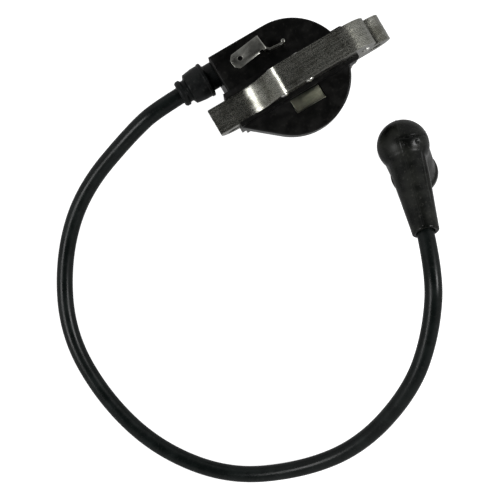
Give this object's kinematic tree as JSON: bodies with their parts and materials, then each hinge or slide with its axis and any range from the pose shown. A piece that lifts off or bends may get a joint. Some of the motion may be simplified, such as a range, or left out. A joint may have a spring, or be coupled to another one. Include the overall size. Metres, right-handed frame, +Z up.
{
  "type": "ignition coil",
  "caption": "Small-engine ignition coil: laminated core through a round potted housing, spade kill terminal, high-tension lead and elbow spark plug boot.",
  "frame": {"origin": "under the middle of the laminated core, on the surface that its pole tips stand on", "axes": "+X along the core from its mounting ear to its lug, +Y across the sheets towards the kill terminal, +Z up"},
  "size_m": [0.1834, 0.1727, 0.0549],
  "materials": {
    "lamination_steel": "rolled silicon steel, satin, varnished edges",
    "rivet_steel": "bright headed steel",
    "housing_plastic": "black glass-filled nylon, satin",
    "potting_resin": "cast black epoxy",
    "plate_steel": "pressed steel, dull",
    "bobbin_plastic": "natural nylon",
    "copper_wire": "enamelled copper",
    "board_laminate": "glass-epoxy laminate",
    "capacitor_case": "dipped film capacitor",
    "component_epoxy": "moulded epoxy",
    "resistor_body": "lacquered film resistor",
    "tinned_brass": "tinned, dull bright",
    "gland_rubber": "moulded rubber, satin",
    "lead_jacket": "smooth satin jacket",
    "tinned_copper": "stranded, tinned",
    "boot_rubber": "moulded rubber, satin with parting lines",
    "spring_steel": "bright spring steel"
  },
  "bodies": {
    "coil": {"core_stack": "lamination_steel", "core_end_sheets": "lamination_steel", "core_rivets": "rivet_steel", "coil_housing": "housing_plastic", "potting_resin": "potting_resin", "core_lock_plate": "plate_steel", "primary_bobbin": "bobbin_plastic", "primary_winding": "copper_wire", "secondary_bobbin": "bobbin_plastic", "secondary_winding": "copper_wire", "circuit_board": "board_laminate", "storage_capacitor": "capacitor_case", "thyristor": "component_epoxy", "rectifier_diodes": "component_epoxy", "bleed_resistor": "resistor_body", "trigger_core": "rivet_steel", "trigger_bobbin": "bobbin_plastic", "trigger_winding": "copper_wire", "kill_terminal": "tinned_brass", "terminal_post": "tinned_brass", "ht_terminal_pin": "tinned_brass", "lead_gland": "gland_rubber", "ht_lead": "lead_jacket", "lead_conductor": "tinned_copper"},
    "boot": {"plug_boot": "boot_rubber", "boot_terminal": "spring_steel", "terminal_spike": "spring_steel"}
  },
  "joints": [
    {"name": "boot_swivel", "type": "hinge", "parent": "coil", "child": "boot", "pos_m": [0.0216, -0.04603, 0.03233], "axis": [-0.3094, -0.8719, 0.3797], "range_deg": [-90, 90]}
  ]
}
